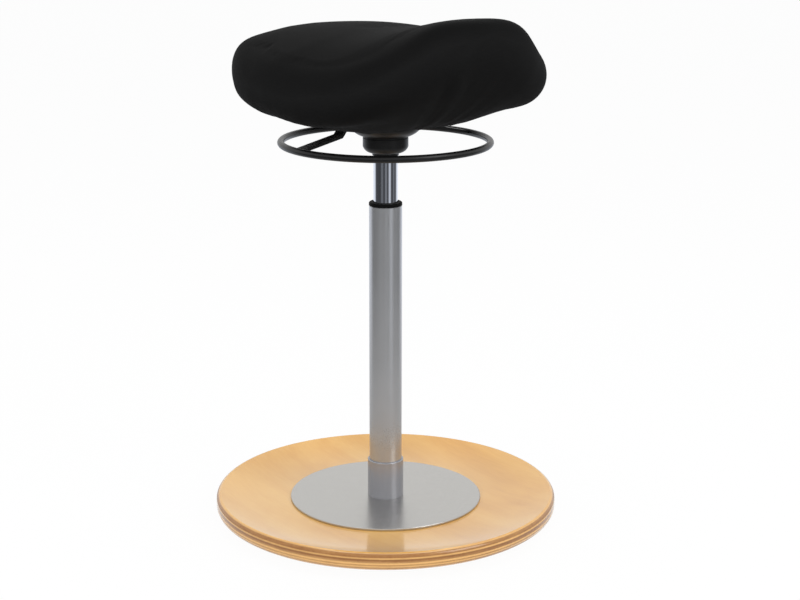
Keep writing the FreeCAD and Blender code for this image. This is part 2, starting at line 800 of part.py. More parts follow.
def seat_section(share, grow):
    """One cross-section of the saddle, at a share of the way from its middle to its nose (+1) or tail (-1),
    grown outwards by a thickness: a crowned top, rounded sides and a bowl below, each an arc."""
    reach = amount("seat_front") if share > 0 else amount("seat_back")
    along = share * (reach + grow) + amount("seat_shift")
    nose = max(share, 0.0)
    bulge = 2.27 if share > 0 else 2.23
    across = (1 - abs(share) ** bulge) ** (1 / bulge)
    swell = (1 - abs(share) ** 3.8) ** (1 / 3.8)
    shape = across * (1 - 0.0292 * share)
    half = (amount("seat_half_width") + grow) * shape
    rise = amount("seat_rise_front") if share > 0 else amount("seat_rise_back")
    middle = amount("seat_level") + rise * share * share
    drop = amount("seat_drop")
    drop += amount("seat_drop_front") * share if share > 0 else amount("seat_drop_back") * share
    drop *= across ** 1.63
    crown = (amount("seat_crown") + grow) * swell
    depth = amount("seat_depth") * swell
    bowl = depth + (amount("seat_bowl") * (1 - share * share) + grow) * swell
    top = middle + crown
    bottom = middle - bowl
    side = middle - drop
    shoulder = top - (0.653 + 0.135 * nose) * drop - 0.222 * crown
    heel = side - 0.614 * depth - 0.7 * grow * swell
    y = -along
    edges = [
        arc_edge(V(-0.807 * half, y, shoulder), V(0, y, top), V(0.807 * half, y, shoulder)),
        arc_edge(V(0.807 * half, y, shoulder), V(half, y, side), V(0.726 * half, y, heel)),
        arc_edge(V(0.726 * half, y, heel), V(0, y, bottom), V(-0.726 * half, y, heel)),
        arc_edge(V(-0.726 * half, y, heel), V(-half, y, side), V(-0.807 * half, y, shoulder)),
    ]
    return Part.Wire(edges)


def seat_form(grow):
    shares = [-0.9985, -0.985, -0.94, -0.85, -0.70, -0.48, -0.24, 0.0, 0.24, 0.48, 0.70, 0.85, 0.94, 0.985, 0.9985]
    return Part.makeLoft([seat_section(share, grow) for share in shares], True, False)


def pan_section(along, half, level):
    """Cross-section of the pan: flat in the middle, its wings turned down."""
    flat = min(amount("pan_flat_x"), 0.6 * half)
    low = level
    high = level + amount("pan_thick")
    drop = 2.0 * half / amount("pan_wide")
    y = -along
    mid = (flat + half) / 2
    points = [V(-flat, y, low), V(flat, y, low)]
    edges = [Part.makeLine(points[0], points[1])]
    edges.append(arc_edge(points[1], V(mid, y, low - 0.3 * drop), V(half, y, low - drop)))
    edges.append(Part.makeLine(V(half, y, low - drop), V(half, y, high - drop)))
    edges.append(arc_edge(V(half, y, high - drop), V(mid, y, high - 0.3 * drop), V(flat, y, high)))
    edges.append(Part.makeLine(V(flat, y, high), V(-flat, y, high)))
    edges.append(arc_edge(V(-flat, y, high), V(-mid, y, high - 0.3 * drop), V(-half, y, high - drop)))
    edges.append(Part.makeLine(V(-half, y, high - drop), V(-half, y, low - drop)))
    edges.append(arc_edge(V(-half, y, low - drop), V(-mid, y, low - 0.3 * drop), points[0]))
    return Part.Wire(edges)


def pan_form():
    flat = amount("pan_flat_y")
    wide = amount("pan_wide")
    low = amount("pan_low")
    front = amount("pan_front")
    back = amount("pan_back")
    stations = [
        (-back, 0.68 * wide, low + 14.0),
        (-0.72 * back, 0.88 * wide, low + 6.0),
        (-flat, wide, low),
        (flat, wide, low),
        (0.72 * front, 0.88 * wide, low + 9.0),
        (front, 0.68 * wide, low + 25.0),
    ]
    return Part.makeLoft([pan_section(*station) for station in stations], True, True)


def feature(label, shape):
    item = DOC.addObject("Part::Feature", label)
    item.Shape = shape
    item.Placement = FreeCAD.Placement()
    keep(label, item)


def upright(radius, low, high):
    return Part.makeCylinder(radius, high - low, V(0, 0, low), AXIS_Z)


def make_seat():
    sx = amount("screw_x")
    sy = amount("screw_y")
    spots = [(sx, sy), (-sx, sy), (-sx, -sy), (sx, -sy)]
    pan_top = amount("pan_low") + amount("pan_thick")
    nuts = []
    bores = []
    for x, y in spots:
        at = V(x, y, amount("pan_low"))
        barrel = Part.makeCylinder(amount("tnut_radius"), amount("pan_thick"), at, AXIS_Z)
        flange = Part.makeCylinder(amount("tnut_flange"), 1.5, V(x, y, pan_top), AXIS_Z)
        thread = Part.makeCylinder(amount("screw_radius") + 0.02, 40, V(x, y, amount("pan_low") - 10), AXIS_Z)
        nuts.append(barrel.fuse(flange).removeSplitter().cut(thread))
        bores.append(barrel)
    feature("t_nuts", Part.makeCompound(nuts))
    pan = pan_form()
    for bore in bores:
        pan = pan.cut(bore)
    feature("seat_pan", pan)

    def screw(name, x, y):
        head = cylinder(name + "_head", "screw_head_radius", "screw_head", x, y, "plate_low - screw_head")
        shank = cylinder(name + "_shank", "screw_radius", "screw_top - plate_low", x, y, "plate_low")
        socket = DOC.addObject("Part::Prism", name + "_socket")
        socket.Polygon = 6
        bind(socket, "Circumradius", "2.3")
        bind(socket, "Height", "2")
        place(socket, x, y, "plate_low - screw_head")
        return cut(name, fuse(name + "_blank", [head, shank]), socket)

    keep("seat_screws", fuse("seat_screw_group", four("seat_screw", screw)))

    recess = upright(amount("foam_recess"), amount("under_seat"), amount("pan_low"))
    gap = amount("foam_gap")
    thick = amount("cover_thick")
    foam = seat_form(-thick - gap).cut(recess).cut(pan_form())
    for x, y in spots:
        foam = foam.cut(Part.makeCylinder(amount("tnut_flange"), 1.5, V(x, y, pan_top), AXIS_Z))
    feature("seat_foam", foam)
    inside = seat_form(-thick)
    outside = seat_form(0.0)
    opening = upright(amount("cover_opening"), amount("under_seat"), amount("pan_low"))
    feature("seat_cover", outside.cut(inside).cut(opening))
    band = upright(amount("hem_outer"), amount("under_seat"), amount("hem_top")).cut(opening)
    hem = inside.common(band).cut(seat_form(-thick - amount("hem_thick")))
    feature("elastic_hem", hem)


def check_and_write():
    DOC.recompute()
    faults = []
    for item in DOC.Objects:
        if "Invalid" in item.State or "Error" in item.State:
            faults.append("%s is %s" % (item.Name, item.State))
    for label, item in NODES.items():
        shape = item.Shape
        if shape.isNull() or not shape.isValid() or not shape.Solids:
            faults.append("%s has a bad shape" % label)
    if faults:
        raise RuntimeError("; ".join(faults))
    os.makedirs("parts", exist_ok=True)
    for old in os.listdir("parts"):
        if old.endswith(".step"):
            os.remove(os.path.join("parts", old))
    for label, item in NODES.items():
        item.Shape.exportStep(os.path.join("parts", label + ".step"))
        box_now = item.Shape.BoundBox
        print("%-20s solids %d volume %.1f cm3 x %.1f..%.1f y %.1f..%.1f z %.1f..%.1f" % (
            label, len(item.Shape.Solids), item.Shape.Volume / 1000, box_now.XMin, box_now.XMax,
            box_now.YMin, box_now.YMax, box_now.ZMin, box_now.ZMax))


make_sole()
make_dish()
make_disc()
make_disc_fasteners()
make_column()
make_bearing()
make_rod_end()
make_gas_spring()
make_valve()
make_hub()
make_bracket()
make_seat_plate()
make_pivot()
make_release()
make_seat()
check_and_write()
print(len(NODES), "pieces written")
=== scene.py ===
"""Wobble stool: finishes for its rigid parts, a cover with its hem and foam, floor, light and camera."""

import bisect
import math
import random

import bmesh
import bpy
from mathutils import Matrix, Vector
from mathutils.bvhtree import BVHTree


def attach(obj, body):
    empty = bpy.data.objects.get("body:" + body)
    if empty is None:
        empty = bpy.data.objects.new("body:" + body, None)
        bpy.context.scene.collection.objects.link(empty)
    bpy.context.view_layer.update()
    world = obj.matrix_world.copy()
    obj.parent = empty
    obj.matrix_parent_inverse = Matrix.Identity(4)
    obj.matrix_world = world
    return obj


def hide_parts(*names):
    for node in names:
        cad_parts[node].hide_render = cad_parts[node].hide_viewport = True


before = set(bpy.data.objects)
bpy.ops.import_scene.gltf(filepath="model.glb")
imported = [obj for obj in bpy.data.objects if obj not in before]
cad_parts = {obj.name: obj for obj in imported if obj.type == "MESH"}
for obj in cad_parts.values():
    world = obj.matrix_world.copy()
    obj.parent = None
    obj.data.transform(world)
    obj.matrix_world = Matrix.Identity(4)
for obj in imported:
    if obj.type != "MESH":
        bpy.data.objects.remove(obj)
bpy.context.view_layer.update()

MM = 0.001


# Shader maths: one class wraps a socket, and arithmetic on it adds Math nodes.


class Value:
    def __init__(self, finish, socket):
        self.finish = finish
        self.socket = socket

    def math(self, operation, *others, clamp=False):
        settings = {"operation": operation, "use_clamp": clamp}
        return self.finish.node("ShaderNodeMath", settings, [self, *others])

    def __add__(self, other):
        return self.math("ADD", other)

    __radd__ = __add__

    def __sub__(self, other):
        return self.math("SUBTRACT", other)

    def __rsub__(self, other):
        return self.finish.node("ShaderNodeMath", {"operation": "SUBTRACT"}, [other, self])

    def __mul__(self, other):
        return self.math("MULTIPLY", other)

    __rmul__ = __mul__

    def __truediv__(self, other):
        return self.math("DIVIDE", other)

    def __abs__(self):
        return self.math("ABSOLUTE")

    def clamped(self):
        return self.math("ADD", 0.0, clamp=True)


class Finish:
    """A material under construction: its nodes, and the sockets of its one Principled shader."""

    def __init__(self, name):
        self.material = bpy.data.materials.new(name)
        self.material.use_nodes = True
        self.tree = self.material.node_tree
        self.tree.nodes.clear()
        self.output = self.tree.nodes.new("ShaderNodeOutputMaterial")
        self.shader = self.tree.nodes.new("ShaderNodeBsdfPrincipled")
        self.tree.links.new(self.shader.outputs[0], self.output.inputs[0])

    def feed(self, socket, value):
        if isinstance(value, Value):
            self.tree.links.new(value.socket, socket)
        elif value is not None:
            socket.default_value = value

    def node(self, kind, settings=None, inputs=(), output=0):
        """Adds a node: its settings, then its inputs as a list in socket order or a dict by name or index."""
        node = self.tree.nodes.new(kind)
        for name, value in (settings or {}).items():
            if name == "stops":
                self.set_stops(node.color_ramp, value)
            else:
                setattr(node, name, value)
        pairs = inputs.items() if isinstance(inputs, dict) else enumerate(inputs)
        for key, value in pairs:
            self.feed(node.inputs[key], value)
        return Value(self, node.outputs[output])

    @staticmethod
    def set_stops(ramp, stops):
        while len(ramp.elements) > 1:
            ramp.elements.remove(ramp.elements[-1])
        ramp.elements[0].position = stops[0][0]
        ramp.elements[0].color = rgba(stops[0][1])
        for position, colour in stops[1:]:
            ramp.elements.new(position).color = rgba(colour)

    def place(self):
        return self.node("ShaderNodeTexCoord", output="Object")

    def stretched(self, scale, turn=(0.0, 0.0, 0.0)):
        inputs = {"Vector": self.place(), "Rotation": turn, "Scale": scale}
        return self.node("ShaderNodeMapping", None, inputs)

    def xyz(self, vector=None):
        split = self.node("ShaderNodeSeparateXYZ", None, [vector or self.place()]).socket.node
        return [Value(self, split.outputs[index]) for index in range(3)]

    def noise(self, scale, vector=None, detail=3.0, rough=0.55, distortion=0.0):
        inputs = {"Vector": vector or self.place(), "Scale": scale, "Detail": detail, "Roughness": rough,
                  "Distortion": distortion}
        return self.node("ShaderNodeTexNoise", {"noise_dimensions": "3D"}, inputs)

    def cells(self, scale, vector=None, feature="F1"):
        inputs = {"Vector": vector or self.place(), "Scale": scale}
        return self.node("ShaderNodeTexVoronoi", {"feature": feature}, inputs)

    def ramp(self, value, stops):
        return self.node("ShaderNodeValToRGB", {"stops": stops}, [value])

    def mix(self, factor, first, second, blend="MIX"):
        settings = {"data_type": "RGBA", "blend_type": blend}
        colours = [rgba(c) if isinstance(c, tuple) else c for c in (first, second)]
        return self.node("ShaderNodeMix", settings, {0: factor, 6: colours[0], 7: colours[1]}, output=2)

    def bump(self, height, strength, distance):
        inputs = {"Strength": strength, "Distance": distance, "Height": height}
        return self.node("ShaderNodeBump", None, inputs)

    def done(self, **sockets):
        for name, value in sockets.items():
            value = rgba(value) if isinstance(value, tuple) else value
            self.feed(self.shader.inputs[name.replace("_", " ")], value)
        return self.material


def rgba(colour):
    return (*colour[:3], 1.0)


def grey(level, warm=0.0):
    """A linear grey, a little warmer or colder."""
    return (level * (1.0 + warm), level, level * (1.0 - warm))


def shade(red, green, blue):
    """A display colour of 0 to 255 as linear light."""
    parts = (red, green, blue)
    return tuple(((c / 255 + 0.055) / 1.055) ** 2.4 if c > 10 else c / 255 / 12.92 for c in parts)


# Finishes.

# The rim's plies from the bottom, 0, to the top, 1: how dark each one is.
PLY_STOPS = [(0.0, 0.35), (0.09, 0.30), (0.12, 0.80), (0.17, 0.80), (0.20, 0.05), (0.25, 0.05), (0.28, 0.72),
             (0.32, 0.72), (0.35, 0.0), (0.41, 0.05), (0.44, 0.88), (0.61, 0.98), (0.64, 0.0), (0.70, 0.0),
             (0.73, 0.88), (0.90, 0.75), (0.93, 0.0), (1.0, 0.0)]


# The dish's section in metres: where its flats end, their levels, and how its curved parts rise beyond them.
DISH = {
    "flat_below": 0.095, "flat_above": 0.117, "bottom": 0.002, "top": 0.022,
    "slope_below": 0.0056, "curve_below": 0.8354, "slope_above": -0.003, "curve_above": 1.62,
}
TOP_VENEER = 0.955
LOW_VENEER = 0.03


def plywood_finish():
    """Cross-banded birch: face veneer above and below, and the plies where the rim cuts through them."""
    f = Finish("lacquered_plywood")
    x, y, z = f.xyz()
    radius = (x * x + y * y).math("SQRT")
    low_run = (radius - DISH["flat_below"]).math("MAXIMUM", 0.0)
    high_run = (radius - DISH["flat_above"]).math("MAXIMUM", 0.0)
    low = DISH["bottom"] + low_run * DISH["slope_below"] + low_run * low_run * DISH["curve_below"]
    high = DISH["top"] + high_run * DISH["slope_above"] + high_run * high_run * DISH["curve_above"]
    wave = f.noise(7.0, detail=2.0) - 0.5
    depth = (z - low) / (high - low)
    band = f.ramp(depth + wave * 0.03, [(stop, grey(level)) for stop, level in PLY_STOPS])

    angle = y.math("ARCTAN2", x)
    turned = ((angle - 3.75).math("COSINE") - 0.55).clamped()
    pores = f.noise(240.0, f.stretched((1.0, 1.0, 2.2)), detail=4.0, rough=0.7)
    streaks = f.noise(40.0, f.stretched((1.0, 1.0, 7.0)), detail=3.0)
    spots = ((f.noise(75.0, f.stretched((1.0, 1.0, 4.0)), detail=2.0) - 0.66) * 6.0).clamped()
    upper = ((depth - 0.48) * 12.0).clamped()
    edge_mix = band * (1.0 - turned) + turned * (upper * 0.75 + band * 0.35)
    edge_mix = (edge_mix + (streaks - 0.5) * 0.45 + (pores - 0.5) * 0.30).clamped()
    edge = f.mix(edge_mix, shade(216, 167, 100), shade(134, 84, 28))
    edge = f.mix(spots * edge_mix, edge, shade(100, 60, 22))

    grain_lines = f.noise(36.0, f.stretched((1.0, 0.10, 1.0)), detail=6.0, rough=0.6, distortion=0.4)
    flame = f.noise(6.0, f.stretched((1.0, 0.55, 1.0)), detail=3.0, rough=0.5, distortion=1.1)
    fine = f.noise(420.0, f.stretched((1.0, 0.07, 1.0)), detail=3.0, rough=0.6)
    tone = (flame * 0.62 + grain_lines * 0.28 + fine * 0.14).clamped()
    veneer = [(0.30, shade(198, 140, 62)), (0.48, shade(215, 161, 80)), (0.62, shade(224, 175, 96))]
    face = f.ramp(tone, veneer)
    knots = f.cells(7.3, f.stretched((1.0, 0.8, 1.0)))
    knot = ((0.030 - knots) * 45.0).clamped()
    face = f.mix(knot * 0.7, face, shade(140, 86, 38))

    face_share = ((depth - TOP_VENEER) * 60.0).clamped() + ((LOW_VENEER - depth) * 60.0).clamped()
    colour = f.mix(face_share.clamped(), edge, face)
    rough = 0.40 + (fine - 0.5) * 0.10 + (1.0 - face_share) * 0.10
    height = fine * 0.5 + (pores * 0.9 - edge_mix * 0.6) * (1.0 - face_share)
    return f.done(Base_Color=colour, Roughness=rough, Normal=f.bump(height, 0.2, 0.0003), Coat_Weight=1.0,
                  Coat_Roughness=0.10, Specular_IOR_Level=0.2)


def metal_finish(name, colour, rough, dirt=0.04, grain=900.0, depth=0.00002):
    """Steel, chrome, brass or aluminium, with fine grain in its gloss and faint marks of handling."""
    f = Finish(name)
    fine = f.noise(grain, detail=2.0)
    marks = f.noise(28.0, detail=4.0, rough=0.6, distortion=0.6)
    darker = tuple(c * (1.0 - 2.2 * dirt) for c in colour)
    tone = f.mix(marks, darker, colour)
    gloss = rough + (fine - 0.5) * rough * 0.35 + (marks - 0.5) * dirt
    return f.done(Base_Color=tone, Roughness=gloss, Metallic=1.0, Normal=f.bump(fine, 0.15, depth))


def turned_steel_finish():
    """Lathe-turned steel: fine rings that spread a reflection up and down."""
    f = Finish("turned_steel")
    rings = f.noise(2600.0, f.stretched((0.02, 0.02, 1.0)), detail=2.0)
    marks = f.noise(28.0, detail=4.0, rough=0.6, distortion=0.6)
    tone = f.mix(marks, (0.29, 0.295, 0.32), (0.33, 0.335, 0.36))
    return f.done(Base_Color=tone, Roughness=0.20 + (marks - 0.5) * 0.06, Metallic=0.55,
                  Normal=f.bump(rings, 0.35, 0.00008))


def paint_finish(name, colour, rough, metal=0.0, shine=0.5):
    """Powder coat or paint: a fine orange peel, and a slightly uneven tone."""
    f = Finish(name)
    peel = f.noise(1400.0, detail=1.0)
    flake = f.cells(2600.0)
    cloud = f.noise(14.0, detail=3.0)
    low = tuple(c * 0.90 for c in colour)
    high = tuple(c * 1.08 for c in colour)
    tone = f.mix((cloud * 0.6 + flake * 0.5).clamped(), low, high)
    gloss = rough + (cloud - 0.5) * 0.08 + (peel - 0.5) * 0.05
    return f.done(Base_Color=tone, Roughness=gloss, Metallic=metal, Normal=f.bump(peel, 0.2, 0.00003),
                  Specular_IOR_Level=shine)


def plastic_finish(name, colour, rough, grain=2200.0, shine=0.5):
    """Moulded plastic or rubber: a fine spark texture and a little wear in the gloss."""
    f = Finish(name)
    spark = f.noise(grain, detail=2.0)
    wear = f.noise(45.0, detail=4.0, rough=0.6)
    tone = f.mix(wear, tuple(c * 0.8 for c in colour), tuple(c * 1.25 for c in colour))
    gloss = rough + (wear - 0.5) * 0.16
    return f.done(Base_Color=tone, Roughness=gloss, Normal=f.bump(spark, 0.3, 0.00005),
                  Specular_IOR_Level=shine)


def foam_finish():
    f = Finish("moulded_foam")
    cell = f.cells(900.0)
    skin = f.noise(30.0, detail=3.0)
    tone = f.mix((cell * 0.8 + skin * 0.4).clamped(), shade(58, 58, 60), shade(92, 92, 94))
    return f.done(Base_Color=tone, Roughness=0.95, Normal=f.bump(cell, 0.6, 0.0004))


def fabric_finish(name, tone_low, tone_high):
    """Stretch knit, near black: ribs in both directions, blended by the way each spot faces, with painted shade
    that makes it darker where it faces up or down.
    """
    f = Finish(name)
    x, y, z = f.xyz()
    facing = f.node("ShaderNodeNewGeometry", output="Normal")
    nx, ny, nz = (abs(part) for part in f.xyz(facing))
    pitch = 2.0 * math.pi / (1.1 * MM)

    def knit(u, v):
        rib = (u * pitch).math("SINE")
        course = (v * pitch * 0.8 + rib * 0.6).math("SINE")
        return rib * 0.5 + course * 0.5

    total = nx + ny + nz
    weave = (knit(y, z) * nx + knit(x, z) * ny + knit(x, y) * nz) / total
    fuzz = f.noise(900.0, detail=3.0, rough=0.65)
    cloud = f.noise(11.0, detail=3.0)
    spread = (0.5 + weave * 0.22 + (fuzz - 0.5) * 0.6 + (cloud - 0.5) * 0.5).clamped()
    tone = f.mix(spread, tone_low, tone_high)
    # Painted shade: the knit's colour is darkened where it faces up or down, to even out the light from above.
    tone = f.mix(nz * 0.75, tone, grey(0.0))
    height = weave * 0.5 + fuzz
    rough = 0.86 + (fuzz - 0.5) * 0.12
    return f.done(Base_Color=tone, Roughness=rough, Normal=f.bump(height, 0.35, 0.00018), Sheen_Weight=0.01,
                  Sheen_Roughness=0.5, Specular_IOR_Level=0.04)


FINISHES = {
    "plywood": plywood_finish(),
    "satin_steel": metal_finish("satin_steel", (0.475, 0.465, 0.445), 0.27, dirt=0.008, grain=2400.0,
                                depth=0.000003),
    "column_paint": paint_finish("silver_column_paint", (0.47, 0.475, 0.485), 0.29, metal=0.85),
    "chrome": metal_finish("hard_chrome", (0.72, 0.73, 0.76), 0.07, dirt=0.02, depth=0.00001),
    "zinc_steel": metal_finish("zinc_plate", (0.62, 0.63, 0.64), 0.32),
    "bearing_steel": metal_finish("ground_bearing_steel", (0.66, 0.66, 0.68), 0.12, dirt=0.02),
    "brass_fitting": metal_finish("turned_brass", (0.71, 0.52, 0.24), 0.24),
    "aluminium_sleeve": metal_finish("drawn_aluminium", (0.76, 0.77, 0.78), 0.30),
    "black_steel": paint_finish("black_satin_coat", grey(0.005), 0.32, shine=0.28),
    "black_plastic": plastic_finish("black_nylon", grey(0.006), 0.36, shine=0.22),
    "pan_plastic": plastic_finish("seat_pan_plastic", grey(0.018), 0.5, grain=1200.0),
    "rubber": plastic_finish("dark_rubber", grey(0.022), 0.72, grain=1500.0),
    "foam": foam_finish(),
    "seat_fabric": fabric_finish("black_stretch_knit", grey(0.0047), grey(0.0101)),
}
# Nodes whose finish differs from the rest of their slot.
OWN_FINISHES = {
    "column_socket": turned_steel_finish(),
    "guide_bush": plastic_finish("matt_black_bush", grey(0.004), 0.55, shine=0.04),
}


def dress_cad_nodes():
    for name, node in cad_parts.items():
        for spot in node.material_slots:
            slot = spot.material.name.split(".")[0]
            spot.material = OWN_FINISHES.get(name, FINISHES[slot])


# The seat's form: the same lengthwise sections as in the part's source, in millimetres.

SEAT = {
    "front": 174.4, "back": 172.1, "half_width": 165.5, "level": 538.5, "rise_front": 41.8,
    "rise_back": 4.7, "drop": 19.8, "drop_front": 40.1, "drop_back": 10.1, "crown": 39.9, "depth": 43.3,
    "bowl": 34.5, "shift": 4.8,
}
HEM_RADIUS = 75.0
HEM_OUTER = 81.4
HEM_DROP = 2.2
SEAT_CENTRE = Vector((0.0, 0.0, 530.0))


def seat_corners(share, grow):
    """One section of the seat: its place along the seat and the points that its arcs pass through."""
    nose = max(share, 0.0)
    reach = SEAT["front"] if share > 0 else SEAT["back"]
    along = share * (reach + grow) + SEAT["shift"]
    bulge = 2.27 if share > 0 else 2.23
    across = (1 - abs(share) ** bulge) ** (1 / bulge)
    swell = (1 - abs(share) ** 3.8) ** (1 / 3.8)
    half = (SEAT["half_width"] + grow) * across * (1 - 0.0292 * share)
    rise = SEAT["rise_front"] if share > 0 else SEAT["rise_back"]
    middle = SEAT["level"] + rise * share * share
    drop = SEAT["drop"] + (SEAT["drop_front"] if share > 0 else SEAT["drop_back"]) * share
    drop *= across ** 1.63
    crown = (SEAT["crown"] + grow) * swell
    depth = SEAT["depth"] * swell
    bowl = depth + (SEAT["bowl"] * (1 - share * share) + grow) * swell
    top = middle + crown
    side = middle - drop
    shoulder = top - (0.653 + 0.135 * nose) * drop - 0.222 * crown
    heel = side - 0.614 * depth - 0.7 * grow * swell
    return along, half, top, shoulder, side, heel, middle - bowl


def arc_points(first, via, last, count):
    """Points along the arc through three points, the first one left out."""
    (ax, az), (bx, bz), (cx, cz) = first, via, last
    d = 2 * (ax * (bz - cz) + bx * (cz - az) + cx * (az - bz))
    a2, b2, c2 = ax * ax + az * az, bx * bx + bz * bz, cx * cx + cz * cz
    ox = (a2 * (bz - cz) + b2 * (cz - az) + c2 * (az - bz)) / d
    oz = (a2 * (cx - bx) + b2 * (ax - cx) + c2 * (bx - ax)) / d
    radius = math.hypot(ax - ox, az - oz)
    start = math.atan2(az - oz, ax - ox)
    sweep = (math.atan2(cz - oz, cx - ox) - start) % (2 * math.pi)
    middle = (math.atan2(bz - oz, bx - ox) - start) % (2 * math.pi)
    if middle > sweep:
        sweep -= 2 * math.pi
    turns = [start + sweep * step / count for step in range(1, count + 1)]
    return [(ox + radius * math.cos(t), oz + radius * math.sin(t)) for t in turns]


# Where the arcs of a section meet, as shares of its half width.
SHOULDER_OUT = 0.807
HEEL_OUT = 0.726


def half_section(share, grow):
    """The right half of a section, from the top in the middle to the bottom in the middle."""
    along, half, top, shoulder, side, heel, bottom = seat_corners(share, grow)
    above = arc_points((-SHOULDER_OUT * half, shoulder), (0.0, top), (SHOULDER_OUT * half, shoulder), 48)[23:]
    edge = arc_points((SHOULDER_OUT * half, shoulder), (half, side), (HEEL_OUT * half, heel), 24)
    below = arc_points((HEEL_OUT * half, heel), (0.0, bottom), (-HEEL_OUT * half, heel), 48)[:24]
    points = above + edge + below
    lengths = [0.0]
    for a, b in zip(points, points[1:]):
        lengths.append(lengths[-1] + math.dist(a, b))
    return along, points, lengths


def closed_form(grow):
    """The seat's whole skin: a sphere whose rows of latitude become the sections."""
    skin = bmesh.new()
    bmesh.ops.create_uvsphere(skin, u_segments=128, v_segments=128, radius=1.0)
    sections = {}
    for vert in skin.verts:
        share = max(-0.9992, min(0.9992, vert.co.z))
        key = round(share, 5)
        if key not in sections:
            sections[key] = half_section(share, grow)
        along, points, lengths = sections[key]
        turn = math.atan2(abs(vert.co.x), vert.co.y) / math.pi
        want = lengths[-1] * turn
        step = min(max(bisect.bisect_left(lengths, want), 1), len(points) - 1)
        part = (want - lengths[step - 1]) / (lengths[step] - lengths[step - 1])
        (ax, az), (bx, bz) = points[step - 1], points[step]
        across = ax + (bx - ax) * part
        vert.co = Vector((math.copysign(across, vert.co.x), -along, az + (bz - az) * part))
    bmesh.ops.recalc_face_normals(skin, faces=skin.faces)
    return skin


def add_piece(name, shape, finish, body, smooth=True):
    """Turns a bmesh in metres into a piece that rides on a body."""
    mesh = bpy.data.meshes.new(name)
    for face in shape.faces:
        face.smooth = smooth
    shape.to_mesh(mesh)
    shape.free()
    mesh.materials.append(finish)
    piece = bpy.data.objects.new(name, mesh)
    bpy.context.scene.collection.objects.link(piece)
    if body:
        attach(piece, body)
    return piece


ROWS = 96
SPOKES = 336
SMOOTHINGS = 30
CLOTH_THICK = 0.0018
FOAM_GAP = 0.0026
RIM_SLACK = 0.0012
UNDERSIDE_TOP = 0.5


def row_of(vert):
    return round(math.acos(max(-1.0, min(1.0, vert.co.z))) / math.pi * ROWS)


def polar_skin(grow):
    """The seat's skin from the middle of its top down to the round opening below, in even rows."""
    form = closed_form(grow)
    tree = BVHTree.FromBMesh(form)
    skin = bmesh.new()
    bmesh.ops.create_uvsphere(skin, u_segments=SPOKES, v_segments=ROWS, radius=1.0)
    spokes = {}
    rows = {}
    for vert in skin.verts:
        row = row_of(vert)
        rows[vert] = row
        if 0 < row < ROWS:
            turn = round(math.atan2(vert.co.y, vert.co.x), 4)
            spokes.setdefault(turn, []).append(vert)
    apex = tree.ray_cast(SEAT_CENTRE, Vector((0, 0, 1)))[0]
    for turn, verts in spokes.items():
        out = Vector((math.cos(turn), math.sin(turn), 0.0))
        edge = tree.ray_cast(out * HEM_RADIUS + Vector((0, 0, 400)), Vector((0, 0, 1)))[0]
        limit = math.atan2(HEM_RADIUS, edge.z - SEAT_CENTRE.z)
        path = [apex]
        for step in range(1, 160):
            tilt = limit * step / 160
            way = out * math.sin(tilt) + Vector((0, 0, math.cos(tilt)))
            path.append(tree.ray_cast(SEAT_CENTRE, way)[0])
        path.append(edge)
        lengths = [0.0]
        for a, b in zip(path, path[1:]):
            lengths.append(lengths[-1] + (b - a).length)
        for vert in verts:
            want = lengths[-1] * rows[vert] / (ROWS - 1)
            step = min(max(bisect.bisect_left(lengths, want), 1), len(path) - 1)
            part = (want - lengths[step - 1]) / (lengths[step] - lengths[step - 1])
            vert.co = path[step - 1].lerp(path[step], part)
    for vert in list(skin.verts):
        if rows[vert] == 0:
            vert.co = apex
        elif rows[vert] == ROWS:
            skin.verts.remove(vert)
    form.free()
    bmesh.ops.recalc_face_normals(skin, faces=skin.faces)
    return skin


# Where the padded cover stands fuller or flatter than the plain sections, on both sides: place, move, reach.
FULLNESS = [
    ((45, -164, 592), (1.3, 0.0, 2.9), 24), ((62, -161, 583), (1.8, -0.6, 2.3), 20),
    ((107, -141, 558), (-1.2, 0.7, 0.0), 20), ((124, -128, 532), (1.9, -1.4, 0.0), 26),
    ((127, -118, 510), (2.0, -1.8, -1.3), 24), ((0, -152, 601), (0.0, -0.4, -1.2), 26),
    ((22, 117, 577), (0.0, 0.0, -1.9), 40), ((-150, 62, 507), (-2.3, 0.9, -2.5), 30),
    ((-122, 114, 556), (-1.3, 1.5, 1.6), 26), ((120, -106, 495), (-0.1, 0.3, 0.4), 26),
    ((-145, 30, 495), (-1.2, 0.2, -2.3), 30), ((-147, -18, 491), (-0.9, 0.0, -2.0), 30),
]
# Soft tension creases in the cover: height, width, and the points that each one runs through.
CREASES = [
    (1.5, 9.0, [(5, -179, 592), (-8, -180, 576), (-20, -178, 565), (-28, -168, 545), (-22, -157, 530),
                (-22, -139, 512)]),
    (-0.8, 6.0, [(-144, 67, 554), (-155, 41, 548), (-162, 24, 539)]),
    (0.7, 6.0, [(-143, -92, 539), (-133, -115, 539), (-121, -132, 536)]),
    (0.7, 5.0, [(-158, -61, 526), (-152, -81, 525), (-143, -101, 528)]),
    (0.8, 8.0, [(-118, -133, 524), (-88, -147, 520), (-52, -149, 521)]),
    (0.9, 8.0, [(150, 40, 530), (140, 80, 524), (118, 112, 516)]),
    (0.7, 7.0, [(60, 158, 528), (10, 166, 524), (-40, 162, 522)]),
]


def fill_out(skin):
    """Moves the form a few millimetres where the real cushion is fuller, the same on its left and right."""
    for vert in skin.verts:
        move = Vector()
        for place, step, reach in FULLNESS:
            for side in (1, -1):
                away = (vert.co - Vector((side * place[0], place[1], place[2]))).length
                move += Vector((side * step[0], step[1], step[2])) * math.exp(-0.5 * (away / reach) ** 2)
        vert.co += move


